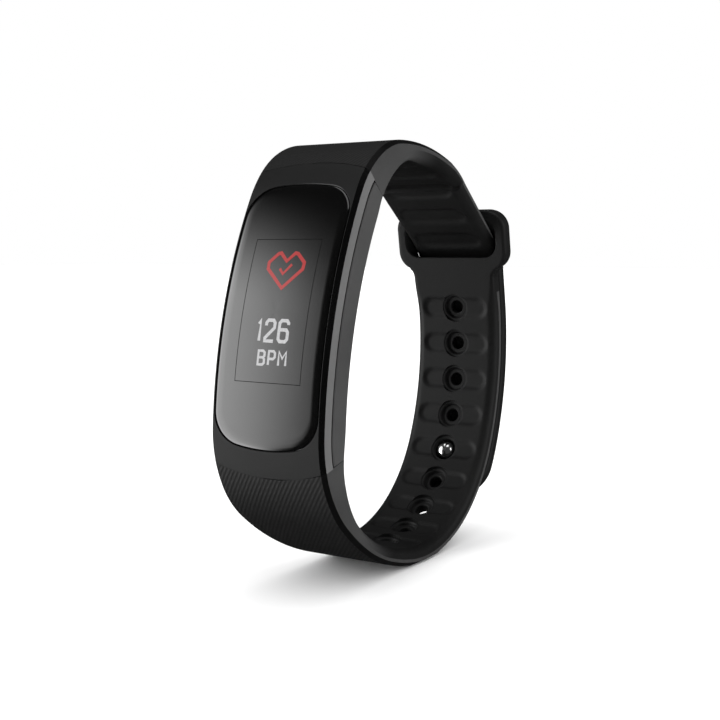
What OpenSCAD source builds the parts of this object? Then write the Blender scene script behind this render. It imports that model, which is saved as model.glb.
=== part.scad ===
// Fitness tracker band, worn loop closed on its fifth hole.
// Millimetres. +X runs along the wrist, the screen faces -Y, +Z is up.
// The closed loop is drawn in its own side view: local x is Y, local y is Z, local z is X.

/* [Band] */
// Width of the housing and of the strap beside it
band_w = 20; // [19:0.5:21]
// Width of the strap at the back of the wrist
strap_w = 16.6; // [16:0.2:17.2]
// Thickness of the housing's side walls
housing_t = 6.4; // [6.2:0.1:6.8]
// Thickness of the strap away from the housing
strap_t = 2.8; // [2.6:0.1:3]
// Thickness of the strap's free tail
tail_t = 2.3; // [2:0.1:2.6]
// Bevel along the housing's front edges
edge_bevel = 0.6; // [0.4:0.1:0.8]

/* [Loop shape] */
// Radius of the curved screen face
face_r = 80; // [78:1:84]
// Radius below the screen
front_low_r = 18; // [17:0.5:19]
// Radius of the long lower run
low_run_r = 47; // [45:1:49]
// Radius at the lower back
back_low_r = 27; // [26:0.5:28]
// Radius at the upper back
back_top_r = 22; // [21:0.5:23]
// Radius above the screen
front_top_r = 16; // [15:0.5:17]
// How far the screen leans back from upright, in degrees
lean = 15.5; // [14:0.5:17]
// Depth of rubber pressed flat where the loop stands
foot_cut = 0.35; // [0.2:0.05:0.5]

/* [Screen] */
// Half length of the cover lens
lens_half_l = 20.2; // [19.5:0.1:20.4]
// Half width of the cover lens
lens_half_w = 9.15; // [8.8:0.05:9.2]
// Thickness of the cover lens
lens_t = 1; // [0.8:0.1:1.1]
// Length of the display panel
display_l = 25.2; // [24:0.1:25.2]
// Width of the display panel
display_w = 13.4; // [12:0.1:14]

/* [Clasp] */
// Number of strap holes
hole_count = 9; // [8:1:9]
// Distance between holes along the outer face
hole_pitch = 7.09; // [6.9:0.01:7.2]
// Distance from the screen's middle to the first hole
hole_start = 64.8; // [64:0.1:66]
// Radius of a strap hole
hole_r = 1.15; // [1:0.05:1.2]
// Radius of the recess round a hole on the wrist side
recess_r = 2; // [1.9:0.05:2.1]
// Radius of the stud's round head
stud_head_r = 1.7; // [1.5:0.05:1.75]
// Half width of the strap's end loop
loop_half_w = 11.1; // [11:0.1:11.6]
// Half width of the slot through the loop
slot_half_w = 9.1; // [8.8:0.1:9.2]

/* [Hidden] */
$fn = 64;
fine = 0.05;
clear = 0.1;
through = 40;
stud_hole = 4;

// The outer face is a closed chain of tangent arcs. A heading of 0 runs along +Y,
// and the chain starts at the middle of the screen and runs down, back, up and forward.
sweeps = [12.5, 52, 32, 75, 50, 43, 25, 57, 13.5];
start_heading = lean - 121;
function turn(i) = i == 0 ? start_heading : turn(i - 1) + sweeps[i - 1];
function out(h) = [sin(h), -cos(h)];
function along(h) = [cos(h), sin(h)];
function cross2(a, b) = a[0] * b[1] - a[1] * b[0];
function chord(i) = out(turn(i + 1)) - out(turn(i));

// The back and the top run take the radii that close the chain.
BACK = 4;
TOP_RUN = 6;
set_r = [face_r, front_low_r, low_run_r, back_low_r, 0, back_top_r, 0, front_top_r, face_r];
function open_sum(i) = i < 0 ? [0, 0] : set_r[i] * chord(i) + open_sum(i - 1);
gap_left = -open_sum(8);
back_r = cross2(gap_left, chord(TOP_RUN)) / cross2(chord(BACK), chord(TOP_RUN));
top_run_r = cross2(chord(BACK), gap_left) / cross2(chord(BACK), chord(TOP_RUN));
radii = [for (i = [0:8]) i == BACK ? back_r : i == TOP_RUN ? top_run_r : set_r[i]];
function raw_centre(i) = i == 0 ? [0, 0] : raw_centre(i - 1) + (radii[i - 1] - radii[i]) * out(turn(i));
front_y = raw_centre(1)[0] - radii[1];
back_y = raw_centre(BACK)[0] + back_r + clear + tail_t;
low_z = raw_centre(3)[1] - radii[3];
origin = [-(front_y + back_y) / 2, -foot_cut - low_z];
centres = [for (i = [0:8]) raw_centre(i) + origin];
function arc_len(i) = radii[i] * sweeps[i] * PI / 180;
function arc_at(s, i = 0) = s <= arc_len(i) || i == 8 ? i : arc_at(s - arc_len(i), i + 1);
function heading_at(s, i = 0) =
    s <= arc_len(i) || i == 8 ? turn(i) + s / radii[i] * 180 / PI : heading_at(s - arc_len(i), i + 1);
function point_on(i, h, depth = 0) = centres[i] + (radii[i] - depth) * out(h);
function arc_points(c, r, h0, h1, n) = [for (k = [0:n]) c + r * out(h0 + (h1 - h0) * k / n)];

// The housing ends on two curved seams, each a large cylinder across the band.
seam_mid_s = 24.6;
seam_r = 28;
seam_reach = [-14, 40];
low_seam_h = turn(1) + (seam_mid_s - arc_len(0)) / radii[1] * 180 / PI;
top_seam_h = turn(8) - (seam_mid_s - arc_len(8)) / radii[7] * 180 / PI;

// The wrist side keeps the housing's depth under the screen and thins to the strap's.
low_fillet_r = 12;
top_fillet_r = 14;
function meet(a, ra, b, rb, side) =
    let (d = norm(b - a), k = (ra * ra - rb * rb + d * d) / (2 * d), h = sqrt(ra * ra - k * k), u = (b - a) / d)
    a + k * u + side * h * [-u[1], u[0]];
function heading_of(v) = atan2(v[0], -v[1]);
wrist_face_r = face_r - housing_t;
low_fillet_c = meet(centres[0], wrist_face_r - low_fillet_r, centres[2], radii[2] - strap_t - low_fillet_r, 1);
top_fillet_c = meet(centres[0], wrist_face_r - top_fillet_r, centres[6], radii[6] - strap_t - top_fillet_r, -1);
low_fillet_h = [heading_of(low_fillet_c - centres[0]), heading_of(low_fillet_c - centres[2])];
top_fillet_h = [heading_of(top_fillet_c - centres[6]), heading_of(top_fillet_c - centres[0]) + 360];

// The strap's two ends cross at the loop: the upper one leaves the outer face's curve
// and dives out through the slot.
loop_h = 100;
leave_h = 164;
leave_r = 14;
dive_h = 142;
bend_r = 6;
tail_outer_r = back_r + clear + tail_t;
tail_top = centres[BACK] + tail_outer_r * out(loop_h);
leave_c = point_on(TOP_RUN, leave_h) - leave_r * out(leave_h);
dive_start = leave_c + leave_r * out(dive_h);
bend_chord = bend_r * (out(dive_h) - out(loop_h));
to_dive = dive_start - tail_top - bend_chord;
tail_rise = cross2(to_dive, along(dive_h)) / cross2(along(loop_h), along(dive_h));
dive_run = cross2(along(loop_h), to_dive) / cross2(along(loop_h), along(dive_h));
bend_c = tail_top + tail_rise * along(loop_h) - bend_r * out(loop_h);

// The tail peels outward about its outer face, above the stud.
stud_s = hole_start + stud_hole * hole_pitch;
peel_s = 110;
peel_h = heading_at(peel_s);
stud_h = heading_at(stud_s);
tip_s = 84.8;
tip_h = heading_at(tip_s);
peel_gap_h = 0.08;
tip_corner_r = 7.6;
recess_depth = 1.1;
stud_shank_r = 0.9;
stud_head_depth = 1.35;
button_r = 3;
button_t = 0.6;

// The loop at the end of the holed strap, as distances along its straight end.
loop_low = 6.4;
loop_top = 17.2;
loop_corner_r = 3.2;
slot_low = 9;
slot_high = 15.4;
slot_low_way = [cos(55), sin(55)];
dive_way = [cos(dive_h - loop_h), sin(dive_h - loop_h)];

// Where each strap narrows, along Y.
low_taper = [-29, -8.8];
top_taper = [-16, 15];

// The flat that the loop stands on, where the rubber is pressed a little wider than the strap.
foot_front = 8.2;
foot_back = 6.2;
foot_pad_t = 1.4;
foot_w = strap_w + 0.4;

// The stacked layers of the housing, as depths below the screen face.
rim_depth = 2.55;
gasket_t = 0.2;
ledge_half_w = 8;
ledge_half_l = 18.2;
adhesive_t = 0.15;
facet_gap = 0.01;
cavity_half_w = 9;
cavity_half_l = 16.9;
rear_wall = 0.7;
bump_rise = 1.6;
bump_l = 24;
bump_w = 15.6;
board_depth = 5.4;
board_t = 0.6;
board_w = 13.4;
chip_depth = board_depth + board_t;
window_r = 3.8;
contact_x = 6.9;
contact_gap = 2.3;
contact_r = 0.9;
plate_depth = [3.1, 3.9];
plate_half_w = 7;
plate_sweep = [2, 33];
screw_h = 7;
screw_gap = 5;
screw_r = 0.6;
screw_head_r = 1.1;
motor_x = 14.8;
motor_depth = 5.3;
motor_r = 1.5;
shaft_r = 0.35;
shaft_play = 0.03;

// ---- Frames and shared shapes ----

// Draws its children in the loop's side view.
module side() rotate([90, 0, 90]) children();

// Local x runs down the screen, local y into the wrist, from the middle of the screen face.
module screen_frame()
    side() translate(point_on(0, turn(0))) rotate(turn(0)) children();

// Local x runs along the outer face, local y into the wrist, at arc i and heading h.
module face_frame(i, h)
    side() translate(point_on(i, h)) rotate(h) children();

// A bar bent along arc i between two headings.
module bent_bar(i, h0, h1, depth0, depth1, half_w)
    side() translate(centres[i]) rotate(h0 - 90) rotate_extrude(angle = h1 - h0, $fn = 180)
        translate([radii[i] - depth1, -half_w]) square([depth1 - depth0, 2 * half_w]);

// The same, on the screen's arc, between two distances from the screen's middle.
module screen_bar(s0, s1, depth0, depth1, half_w)
    bent_bar(0, turn(0) + s0 / face_r * 180 / PI, turn(0) + s1 / face_r * 180 / PI, depth0, depth1, half_w);

// The bevel taken off both edges of the outer face, along a run of points.
module edge_cut(run)
    for (k = [0:len(run) - 2], m = [0, 1])
        let (step = run[k + 1] - run[k])
            mirror([m, 0, 0]) side() translate(run[k]) rotate(atan2(step[1], step[0])) rotate([90, 0, 90])
                translate([0, band_w / 2, -fine]) linear_extrude(norm(step) + 2 * fine)
                    polygon([[-edge_bevel, -2 * edge_bevel], [2 * edge_bevel, edge_bevel],
                        [-edge_bevel, edge_bevel]]);

// A box in the screen frame, from depth0 to depth1 and centred on x.
module screen_box(x, l, depth0, depth1, w)
    screen_frame() translate([x, (depth0 + depth1) / 2, 0]) cube([l, depth1 - depth0, w], center = true);

// A round post in the screen frame, standing along the depth.
module screen_post(x, z, r, depth0, depth1)
    screen_frame() translate([x, depth0, z]) rotate([-90, 0, 0]) cylinder(r = r, h = depth1 - depth0);

// The cylinder that a housing end and its strap end share.
module seam_cylinder(i, h, way)
    face_frame(i, h) translate([-way * seam_r, seam_reach[0], 0]) rotate([-90, 0, 0])
        cylinder(r = seam_r, h = seam_reach[1] - seam_reach[0], $fn = 180);
module low_seam() seam_cylinder(1, low_seam_h, 1);
module top_seam() seam_cylinder(7, top_seam_h, -1);

// The whole space inside the loop, bounded by tangent arcs.
module wrist_space()
    side() linear_extrude(through, center = true) polygon(concat(
        arc_points(centres[0], wrist_face_r, top_fillet_h[1] - 360, low_fillet_h[0], 12),
        arc_points(low_fillet_c, low_fillet_r, low_fillet_h[0] + 4, low_fillet_h[1] - 4, 12),
        arc_points(centres[2], radii[2] - strap_t, low_fillet_h[1], turn(3), 10),
        arc_points(centres[3], radii[3] - strap_t, turn(3) + 4, turn(4), 18),
        arc_points(centres[4], radii[4] - strap_t, turn(4) + 3, turn(5), 14),
        arc_points(centres[5], radii[5] - strap_t, turn(5) + 4, turn(6), 10),
        arc_points(centres[6], radii[6] - strap_t, turn(6) + 2, top_fillet_h[0], 6),
        arc_points(top_fillet_c, top_fillet_r, top_fillet_h[0] + 4, top_fillet_h[1] - 4, 12)));

// A strap's outline from above, narrowing between two distances along Y.
module plan_taper(y0, y1)
    translate([0, 0, -through / 4]) linear_extrude(through * 3)
        polygon([[-band_w / 2, -through], [band_w / 2, -through], [band_w / 2, y0],
            [strap_w / 2, y1], [strap_w / 2, through], [-strap_w / 2, through],
            [-strap_w / 2, y1], [-band_w / 2, y0]]);

// A round hole through the strap at a distance s along it.
module strap_hole(s, r, depth0, depth1)
    face_frame(arc_at(s), heading_at(s)) translate([0, depth0, 0]) rotate([-90, 0, 0])
        cylinder(r = r, h = depth1 - depth0);

// The outline of the cover lens, seen square on, less an inset.
function lens_arch(sign, inset) =
    let (arch_r = 30, corner_r = 5, c = [0, arch_r - lens_half_l],
        cw = lens_half_w - corner_r, cl = sqrt(pow(arch_r - corner_r, 2) - cw * cw) - c[1], a = asin(cw / (arch_r - corner_r)))
    [for (k = [0:6]) let (t = 90 - (90 - a) * k / 6)
        [sign * (cl + (corner_r - inset) * cos(t)), sign * (cw + (corner_r - inset) * sin(t))],
        for (k = [1:7]) let (t = a - 2 * a * k / 8)
        [sign * ((arch_r - inset) * cos(t) - c[1]), sign * (arch_r - inset) * sin(t)],
        for (k = [0:6]) let (t = -a - (90 - a) * k / 6)
        [sign * (cl + (corner_r - inset) * cos(t)), sign * (-cw + (corner_r - inset) * sin(t))]];
module lens_prism(inset, depth0, depth1)
    screen_frame() translate([0, depth0, 0]) rotate([-90, 0, 0]) mirror([0, 1, 0])
        linear_extrude(depth1 - depth0) polygon(concat(lens_arch(1, inset), lens_arch(-1, inset)));

// ---- Screen and housing ----

// The housing's run seen from the side, between two depths below its outer face.
function front_run(depth) = concat(
    arc_points(centres[7], radii[7] - depth, top_seam_h - 8, turn(8), 10),
    arc_points(centres[0], radii[0] - depth, turn(8) - 359, turn(1) - 1, 20),
    arc_points(centres[1], radii[1] - depth, turn(1), low_seam_h + 8, 10));
function reversed(list) = [for (k = [len(list) - 1:-1:0]) list[k]];
module run_prism(depth0, depth1, half_w)
    side() linear_extrude(2 * half_w, center = true)
        polygon(concat(front_run(depth0), reversed(front_run(depth1))));

module cover_lens() color([0.05, 0.05, 0.06])
    intersection() {
        run_prism(0, lens_t, lens_half_w + clear);
        lens_prism(0, -1, 8);
    }

module lens_adhesive() color([0.12, 0.12, 0.12])
    difference() {
        screen_bar(-ledge_half_l + 0.8, arc_len(0), lens_t + facet_gap, lens_t + adhesive_t, lens_half_w - 0.2);
        screen_bar(-ledge_half_l + 1.6, arc_len(0) - 0.8, lens_t - 1, lens_t + 1, ledge_half_w);
    }

module display_panel() color([0.02, 0.02, 0.03])
    screen_box(-0.3, display_l, 2.15, 3.15, display_w);

module display_flex() color([0.75, 0.5, 0.15])
    screen_frame() linear_extrude(6, center = true)
        polygon([[12.4, 2.85], [13.1, 2.85], [13.1, board_depth - fine], [11.2, board_depth - fine],
            [11.2, board_depth - 0.08 - fine], [12.95, board_depth - 0.08 - fine], [12.95, 3], [12.4, 3]]);

module touch_pad() color([0.8, 0.55, 0.3])
    screen_bar(13.4, 16.6, lens_t + facet_gap, lens_t + 0.2, 3.5);

// The outer shell of the housing down to a depth, open on the wrist side.
module housing_block(depth0, depth1, half_w)
    intersection() {
        run_prism(depth0, depth1, half_w);
        low_seam();
        top_seam();
    }

module front_housing() color([0.13, 0.13, 0.14])
    difference() {
        housing_block(0, rim_depth, band_w / 2);
        edge_cut(front_run(0));
        intersection() {
            run_prism(-1, lens_t, lens_half_w + 1);
            lens_prism(0, -2, 9);
        }
        screen_bar(-ledge_half_l + 0.8, arc_len(0), 0.5, lens_t + adhesive_t, lens_half_w - 0.2);
        screen_bar(-ledge_half_l + 1.6, arc_len(0) - 0.8, 0.5, rim_depth + 1, ledge_half_w);
        screw_posts(screw_r, 1.4);
    }

module housing_gasket() color([0.05, 0.05, 0.05])
    difference() {
        housing_block(rim_depth, rim_depth + gasket_t, band_w / 2 - 0.35);
        screen_bar(-cavity_half_l, cavity_half_l, rim_depth - 1, rim_depth + 1, ledge_half_w);
        screw_posts(screw_r + clear, 1.4);
    }

module rear_housing() color([0.24, 0.24, 0.25])
    difference() {
        union() {
            difference() {
                housing_block(rim_depth + gasket_t, housing_t + 3, band_w / 2);
                wrist_space();
            }
            screen_box(0, bump_l, housing_t - 0.5, housing_t + bump_rise / 2, bump_w);
            screen_box(0, bump_l - 2, housing_t - 0.5, housing_t + bump_rise, bump_w - 2);
        }
        screen_bar(-cavity_half_l, cavity_half_l, 2, housing_t - rear_wall, cavity_half_w);
        screen_box(0, bump_l - 3.4, 4, housing_t + bump_rise - rear_wall, bump_w - 1.4);
        screen_box(motor_x, 2 * motor_r + 0.3, 3, motor_depth + motor_r + 0.15, 15.4);
        screen_post(0, 0, window_r, 5, 10);
        for (z = [-contact_gap, contact_gap])
            screen_post(contact_x, z, contact_r, 5, 10);
        plate_slot(1, turn(1) + plate_sweep[0], turn(1) + plate_sweep[1]);
        plate_slot(7, turn(8) - plate_sweep[1], turn(8) - plate_sweep[0]);
        screw_posts(screw_r + clear, 1.4);
        screw_heads(screw_head_r + clear, 12);
    }

module sensor_window() color([0.02, 0.02, 0.02])
    screen_post(0, 0, window_r, housing_t + bump_rise - rear_wall, housing_t + bump_rise);

// ---- Electronics ----

module main_board() color([0.05, 0.3, 0.15])
    screen_box(-1.35, 28.5, board_depth, board_depth + board_t, board_w);

// A chip on the wrist side of the board.
module chip(x, l, w, t) screen_box(x, l, chip_depth, chip_depth + t, w);

module heart_rate_leds() color([0.3, 0.9, 0.4])
    for (x = [-2.5, 2.5])
        chip(x, 1.2, 2, 0.6);
module photodiode() color([0.3, 0.2, 0.35])
    chip(0, 2.4, 2.4, 0.7);
module processor_chip() color([0.08, 0.08, 0.09])
    chip(-7.4, 5, 5, 0.7);
module memory_chip() color([0.1, 0.1, 0.11])
    chip(10, 3, 4, 0.35);
module motion_sensor_chip() color([0.15, 0.15, 0.17])
    chip(-12.2, 2.5, 2.5, 0.4);
module antenna() color([0.85, 0.85, 0.8])
    chip(-14.6, 1.6, 7, 0.6);

module charging_contacts() color([0.85, 0.7, 0.35])
    for (z = [-contact_gap, contact_gap])
        screen_post(contact_x, z, contact_r, chip_depth, housing_t + bump_rise + fine);

module battery() color([0.7, 0.71, 0.74])
    screen_box(-0.4, 25.4, 3.25, 5.25, 12.6);

module battery_leads() color([0.8, 0.15, 0.1])
    for (z = [-2, 2])
        screen_frame() translate([-13.4, 4.2, z]) {
            translate([-0.6, 0, 0]) rotate([0, 90, 0]) cylinder(r = 0.25, h = 0.85);
            translate([-0.6, -0.25, 0]) rotate([-90, 0, 0]) cylinder(r = 0.25, h = board_depth - 4.2 + 0.2);
        }

// The motor lies across the housing, its case to one side and its weight to the other.
module motor_bar(r, z0, z1)
    screen_frame() translate([motor_x, motor_depth, z0]) cylinder(r = r, h = z1 - z0);

module motor_case() color([0.75, 0.76, 0.78])
    difference() {
        motor_bar(motor_r, -7.5, 0.5);
        motor_bar(shaft_r + shaft_play, -6, 2);
    }
module motor_shaft() color([0.85, 0.85, 0.87])
    motor_bar(shaft_r, -5.5, 4.8);
module motor_weight() color([0.55, 0.5, 0.4])
    screen_frame() translate([motor_x, motor_depth, 1.1]) difference() {
        cylinder(r = motor_r - 0.1, h = 3.4);
        translate([-2, -4.2 - shaft_r, -1]) cube([4, 4, 6]);
        translate([0, 0, -1]) cylinder(r = shaft_r, h = 6);
    }

// ---- Strap anchors ----

module plate_slot(i, h0, h1)
    bent_bar(i, h0, h1, plate_depth[0], plate_depth[1], plate_half_w);

// Screw axes stand square to the face near each end of the housing.
module screw_axes(z) {
    face_frame(1, turn(1) + screw_h) translate([0, 0, z]) rotate([-90, 0, 0]) children();
    face_frame(7, turn(8) - screw_h) translate([0, 0, z]) rotate([-90, 0, 0]) children();
}
module screw_posts(r, depth0)
    for (z = [-screw_gap, screw_gap])
        screw_axes(z) translate([0, 0, depth0]) cylinder(r = r, h = 4);
module screw_heads(r, h)
    for (z = [-screw_gap, screw_gap])
        screw_axes(z) translate([0, 0, 4.9]) cylinder(r = r, h = h);

module lower_anchor_plate() color([0.6, 0.6, 0.62])
    difference() {
        plate_slot(1, turn(1) + plate_sweep[0], turn(1) + plate_sweep[1]);
        screw_posts(screw_r + clear, 1.4);
    }
module upper_anchor_plate() color([0.6, 0.6, 0.62])
    difference() {
        plate_slot(7, turn(8) - plate_sweep[1], turn(8) - plate_sweep[0]);
        screw_posts(screw_r + clear, 1.4);
    }
module housing_screws() color([0.7, 0.7, 0.72])
    union() {
        intersection() {
            screw_posts(screw_r, 1.4);
            housing_block(1, housing_t, band_w / 2);
        }
        screw_heads(screw_head_r, 0.7);
    }

// ---- Straps ----

// The outer face of the loop along arc i, and the wrist side of the strap along it.
function outer_arc(i, h0, h1, n) = arc_points(centres[i], radii[i], h0, h1, n);
function wrist_arc(i, h0, h1, n) = arc_points(centres[i], radii[i] - strap_t, h0, h1, n);
// The tail's two faces, outside the holed strap.
function tail_outer(i, h0, h1, n) = arc_points(centres[i], radii[i] + clear + tail_t, h0, h1, n);
function tail_inner(i, h0, h1, n) = arc_points(centres[i], radii[i] + clear, h0, h1, n);

// A strap outline in side view, drawn across the band and narrowed towards the back.
module strap_prism(points, y0, y1)
    intersection() {
        side() linear_extrude(band_w, center = true) polygon(points);
        plan_taper(y0, y1);
    }

module holed_strap() color([0.1, 0.1, 0.11])
    difference() {
        union() {
            difference() {
                strap_prism(concat(
                    outer_arc(1, turn(1) + 10, turn(2), 12), outer_arc(2, turn(2) + 3, turn(3), 9),
                    outer_arc(3, turn(3) + 4, turn(4), 18), outer_arc(4, turn(4) + 3, loop_h, 9),
                    wrist_arc(4, loop_h, turn(4) + 3, 9), wrist_arc(3, turn(4), turn(3) + 4, 18),
                    wrist_arc(2, turn(3), low_fillet_h[1], 9),
                    arc_points(low_fillet_c, low_fillet_r, low_fillet_h[1] - 4, low_fillet_h[0], 12)),
                    low_taper[0], low_taper[1]);
                low_seam();
                translate([0, 0, -through / 2]) cube([through, through * 3, through], center = true);
            }
            translate([-foot_w / 2, -foot_front, 0]) cube([foot_w, foot_front + foot_back, foot_pad_t]);
            end_loop();
        }
        for (k = [0:hole_count - 1])
            if (k == stud_hole)
                strap_hole(hole_start + k * hole_pitch, recess_r, -1, strap_t + 1);
            else {
                strap_hole(hole_start + k * hole_pitch, hole_r, -1, strap_t + 1);
                strap_hole(hole_start + k * hole_pitch, recess_r, strap_t - recess_depth, strap_t + 1);
            }
        plate_slot(1, turn(1) + plate_sweep[0], turn(1) + plate_sweep[1]);
    }

// The straight end of the holed strap, widening into a rectangular loop with a slanted slot.
module loop_axes()
    side() translate(point_on(BACK, loop_h)) rotate(loop_h) children();
module end_loop()
    difference() {
        loop_axes() translate([0, strap_t, 0]) rotate([90, 0, 0]) linear_extrude(strap_t)
            loop_outline();
        loop_axes() linear_extrude(2 * slot_half_w, center = true) polygon([
            [slot_low, strap_t] + 3 * slot_low_way, [slot_high, strap_t] + 3 * dive_way,
            [slot_high, strap_t] - 9 * dive_way, [slot_low, strap_t] - 9 * slot_low_way]);
    }
module loop_outline() {
    loop_l = loop_top - loop_low;
    straight_half_w = loop_half_w - loop_corner_r;
    translate([-1, fine - strap_w / 2]) square([loop_low + loop_corner_r, strap_w - 2 * fine]);
    translate([loop_low, -straight_half_w]) square([loop_l, 2 * straight_half_w]);
    translate([loop_low + loop_corner_r, -loop_half_w]) square([loop_l - 2 * loop_corner_r, 2 * loop_half_w]);
    for (x = [loop_low + loop_corner_r, loop_top - loop_corner_r], y = [-straight_half_w, straight_half_w])
        translate([x, y]) circle(loop_corner_r);
}

module upper_strap() color([0.1, 0.1, 0.11])
    difference() {
        strap_prism(concat(
            outer_arc(7, turn(8) - 10, turn(7), 14), outer_arc(6, turn(7) - 2, leave_h + 2, 8),
            arc_points(leave_c, leave_r, leave_h, dive_h, 6),
            arc_points(bend_c, bend_r, dive_h, loop_h, 8),
            tail_outer(4, loop_h, peel_h, 5), tail_inner(4, peel_h, loop_h, 5),
            arc_points(bend_c, bend_r - tail_t, loop_h, dive_h, 8),
            arc_points(leave_c, leave_r - strap_t, dive_h, leave_h, 6),
            wrist_arc(6, leave_h + 2, top_fillet_h[0], 8),
            arc_points(top_fillet_c, top_fillet_r, top_fillet_h[0] + 4, top_fillet_h[1], 13)),
            top_taper[0], top_taper[1]);
        top_seam();
        plate_slot(7, turn(8) - plate_sweep[1], turn(8) - plate_sweep[0]);
    }

module strap_tail() color([0.1, 0.1, 0.11])
    difference() {
        intersection() {
            side() linear_extrude(strap_w, center = true) polygon(concat(
                tail_outer(4, peel_h - peel_gap_h, turn(4), 7), tail_outer(3, turn(4) - 3, tip_h + 6, 4),
                [point_on(3, tip_h, -clear - 0.8)],
                tail_inner(3, tip_h, turn(4) - 3, 5), tail_inner(4, turn(4), peel_h - peel_gap_h, 7)));
            face_frame(3, tip_h) translate([0, 10, 0]) rotate([90, 0, 0]) linear_extrude(30) {
                translate([tip_corner_r, -strap_w / 2]) square([through, strap_w]);
                translate([0, tip_corner_r - strap_w / 2]) square([through, strap_w - 2 * tip_corner_r]);
                for (y = [-1, 1])
                    translate([tip_corner_r, y * (strap_w / 2 - tip_corner_r)]) circle(tip_corner_r);
            }
        }
        strap_hole(stud_s, stud_shank_r, -clear - tail_t - 1, 1);
        strap_hole(stud_s, button_r, -clear - tail_t - 1, -clear - tail_t + button_t);
    }

module clasp_stud() color([0.8, 0.8, 0.82])
    union() {
        strap_hole(stud_s, stud_shank_r, -clear - tail_t + button_t, stud_head_depth);
        difference() {
            face_frame(arc_at(stud_s), stud_h) translate([0, stud_head_depth, 0]) sphere(stud_head_r);
            strap_hole(stud_s, 2 * stud_head_r, -3, 0.3);
        }
    }
module stud_button() color([0.8, 0.8, 0.82])
    strap_hole(stud_s, button_r, -clear - tail_t - 0.15, -clear - tail_t + button_t);

cover_lens();
lens_adhesive();
display_panel();
display_flex();
touch_pad();
front_housing();
housing_gasket();
rear_housing();
sensor_window();
heart_rate_leds();
photodiode();
charging_contacts();
main_board();
processor_chip();
memory_chip();
motion_sensor_chip();
antenna();
battery();
battery_leads();
motor_case();
motor_shaft();
motor_weight();
lower_anchor_plate();
upper_anchor_plate();
housing_screws();
holed_strap();
upper_strap();
strap_tail();
clasp_stud();
stud_button();
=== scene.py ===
"""Looks for the fitness tracker band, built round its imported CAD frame. Lengths here are in millimetres."""
import math

import bmesh
import bpy
import numpy as np
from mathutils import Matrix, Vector


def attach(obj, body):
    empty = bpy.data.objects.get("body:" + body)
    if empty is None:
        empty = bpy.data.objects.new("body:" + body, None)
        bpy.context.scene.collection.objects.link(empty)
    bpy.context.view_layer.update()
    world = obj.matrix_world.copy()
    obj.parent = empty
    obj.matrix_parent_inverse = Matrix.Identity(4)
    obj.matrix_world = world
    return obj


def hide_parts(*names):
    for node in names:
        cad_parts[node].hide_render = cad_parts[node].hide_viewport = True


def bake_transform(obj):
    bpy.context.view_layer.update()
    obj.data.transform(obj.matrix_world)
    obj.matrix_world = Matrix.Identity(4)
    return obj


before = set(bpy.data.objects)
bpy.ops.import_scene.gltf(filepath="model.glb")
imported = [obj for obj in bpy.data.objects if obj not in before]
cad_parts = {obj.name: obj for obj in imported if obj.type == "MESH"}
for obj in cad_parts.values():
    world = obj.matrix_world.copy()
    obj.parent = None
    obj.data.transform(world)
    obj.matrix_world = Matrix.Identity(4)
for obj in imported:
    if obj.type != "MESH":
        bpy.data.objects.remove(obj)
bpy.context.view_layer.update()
MM = 0.001


# ---- The loop's outer face: a closed chain of tangent arcs, as in the CAD ----
# It is drawn in the side view, as (y, z). Headings are in degrees; arc i turns from TURN[i] to TURN[i + 1].

SWEEPS = [12.5, 52, 32, 75, 50, 43, 25, 57, 13.5]
N_ARCS = len(SWEEPS)
TURN = [-105.5 + sum(SWEEPS[:i]) for i in range(N_ARCS + 1)]
SCREEN_LOW, LOW_CORNER, FRONT, UNDER, BACK, _, TOP_RUN, TOP_CORNER, SCREEN_TOP = range(N_ARCS)
HOUSING_T, STRAP_T, TAIL_T, CLEAR, FOOT_CUT = 6.4, 2.8, 2.3, 0.1, 0.35
HOUSING_W, STRAP_W, BEVEL = 20.0, 16.6, 0.62
SEAM_S, SEAM_R, SEAM_GAP = 24.6, 28.0, 0.06


def out(h):
    """The direction out of the loop at a heading."""
    return np.array([math.sin(math.radians(h)), -math.cos(math.radians(h))])


def along(h):
    """The direction of travel round the loop at a heading."""
    return np.array([math.cos(math.radians(h)), math.sin(math.radians(h))])


def cross(a, b):
    return a[0] * b[1] - a[1] * b[0]


def heading_of(v):
    """The heading whose outward direction is v."""
    return math.degrees(math.atan2(v[0], -v[1]))


def chain():
    """The radii and centres of the arcs. The back and the top run take the radii that close the chain."""
    radii = [80, 18, 47, 27, 0, 22, 0, 16, 80]
    chord = [out(TURN[i + 1]) - out(TURN[i]) for i in range(N_ARCS)]
    gap = -sum(r * c for r, c in zip(radii, chord))
    span = cross(chord[BACK], chord[TOP_RUN])
    radii[BACK] = cross(gap, chord[TOP_RUN]) / span
    radii[TOP_RUN] = cross(chord[BACK], gap) / span
    centres = [np.zeros(2)]
    for i in range(1, N_ARCS):
        centres.append(centres[-1] + (radii[i - 1] - radii[i]) * out(TURN[i]))
    front_y = centres[LOW_CORNER][0] - radii[LOW_CORNER]
    back_y = centres[BACK][0] + radii[BACK] + CLEAR + TAIL_T
    low_z = centres[UNDER][1] - radii[UNDER]
    shift = np.array([-(front_y + back_y) / 2, -FOOT_CUT - low_z])
    return radii, [c + shift for c in centres]


R, C = chain()
STARTS = [0.0]
for i in range(N_ARCS):
    STARTS.append(STARTS[-1] + R[i] * math.radians(SWEEPS[i]))
TOTAL = STARTS[N_ARCS]


def meet(a, ra, b, rb, side):
    """The point at a distance ra from a and rb from b, on one side of the line between them."""
    d = np.linalg.norm(b - a)
    k = (ra * ra - rb * rb + d * d) / (2 * d)
    u = (b - a) / d
    return a + k * u + side * math.sqrt(ra * ra - k * k) * np.array([-u[1], u[0]])


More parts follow.
